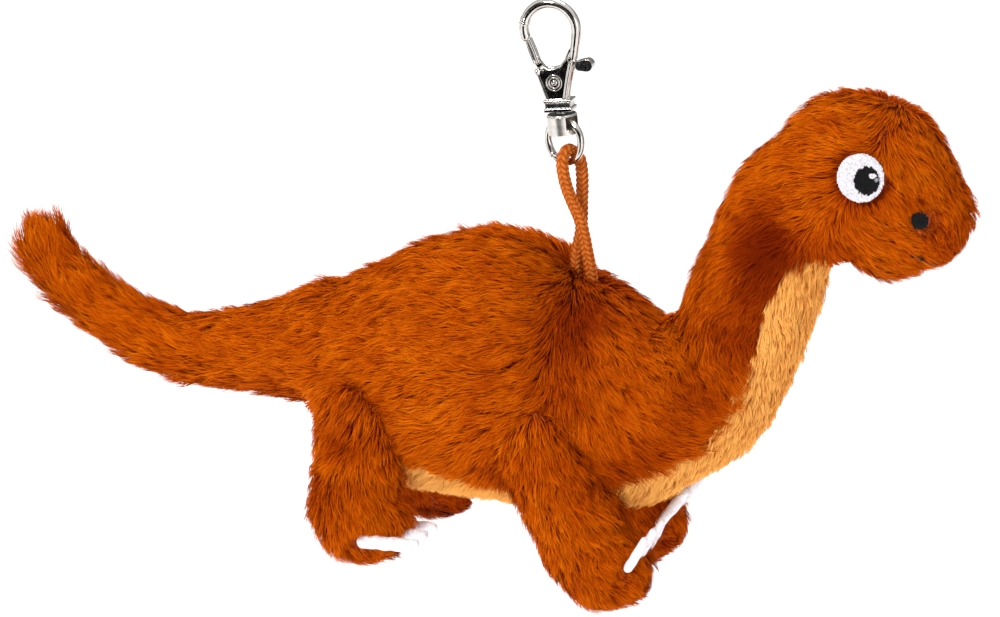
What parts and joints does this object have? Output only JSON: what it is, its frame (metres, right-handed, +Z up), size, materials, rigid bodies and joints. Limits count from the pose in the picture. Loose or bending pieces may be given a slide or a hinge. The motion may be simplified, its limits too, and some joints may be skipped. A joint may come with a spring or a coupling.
{
  "type": "plush keychain",
  "caption": "Stuffed long-necked dinosaur toy of brown pile fabric hanging by a braided cord loop, jump ring and swivelling trigger clasp.",
  "frame": {"origin": "the held point, on the inside of the hook's round top, where it hangs from a key ring or bag tab", "axes": "+X to the toy's nose, +Y to its left side, +Z up"},
  "size_m": [0.1992, 0.0516, 0.1203],
  "materials": {
    "plush_brown": "long rusty orange-brown pile, lying in clumps, darker between them",
    "plush_cream": "short peach-cream pile",
    "stuffing_fibre": "loose white polyester fibre",
    "claw_felt": "white brushed fabric",
    "thread_white": "white rayon embroidery, satin stitched",
    "thread_black": "black rayon embroidery, satin stitched",
    "cord_brown": "round braided brown cord",
    "nickel": "polished nickel plate",
    "nickel_brushed": "satin nickel with fine turning marks",
    "spring_steel": "oiled spring wire"
  },
  "bodies": {
    "hook": {"hook_frame": "nickel", "gate_rivet": "nickel"},
    "gate": {"gate_lever": "nickel", "gate_spring": "spring_steel"},
    "swivel": {"swivel_barrel": "nickel_brushed", "swivel_post": "nickel_brushed"},
    "ring": {"jump_ring": "nickel"},
    "plush": {"cord_loop": "cord_brown", "loop_tack": "thread_black", "side_panel_right": "plush_brown", "side_panel_left": "plush_brown", "belly_gusset": "plush_cream", "leg_front_right": "plush_brown", "leg_front_left": "plush_brown", "leg_hind_right": "plush_brown", "leg_hind_left": "plush_brown", "claws_front_right": "claw_felt", "claws_front_left": "claw_felt", "claws_hind_right": "claw_felt", "claws_hind_left": "claw_felt", "stuffing_torso": "stuffing_fibre", "stuffing_neck": "stuffing_fibre", "stuffing_head": "stuffing_fibre", "stuffing_tail": "stuffing_fibre", "stuffing_front_right": "stuffing_fibre", "stuffing_front_left": "stuffing_fibre", "stuffing_hind_right": "stuffing_fibre", "stuffing_hind_left": "stuffing_fibre", "eye_white_right": "thread_white", "eye_white_left": "thread_white", "pupil_right": "thread_black", "pupil_left": "thread_black", "glint_right": "thread_white", "glint_left": "thread_white", "nostril_right": "thread_black", "nostril_left": "thread_black", "mouth_stitch": "thread_black"}
  },
  "joints": [
    {"name": "gate_pivot", "type": "hinge", "parent": "hook", "child": "gate", "pos_m": [0.00169, 0, -0.0148], "axis": [0, 1, 0], "range_deg": [0, 20], "stiffness_Nm_per_rad": 0.02, "springref_deg": -20.05},
    {"name": "swivel_spin", "type": "hinge", "parent": "hook", "child": "swivel", "pos_m": [0.00271, 0, -0.01982], "axis": [-0.1132, 0, 0.9936], "continuous": true},
    {"name": "ring_swing", "type": "hinge", "parent": "swivel", "child": "ring", "pos_m": [0.00351, 0, -0.0225], "axis": [0.9135, -0.4067, 0], "range_deg": [-35, 35]},
    {"name": "cord_slide", "type": "hinge", "parent": "ring", "child": "plush", "pos_m": [0.00351, 0, -0.02679], "axis": [0.4067, 0.9135, 0], "range_deg": [-45, 45]}
  ]
}
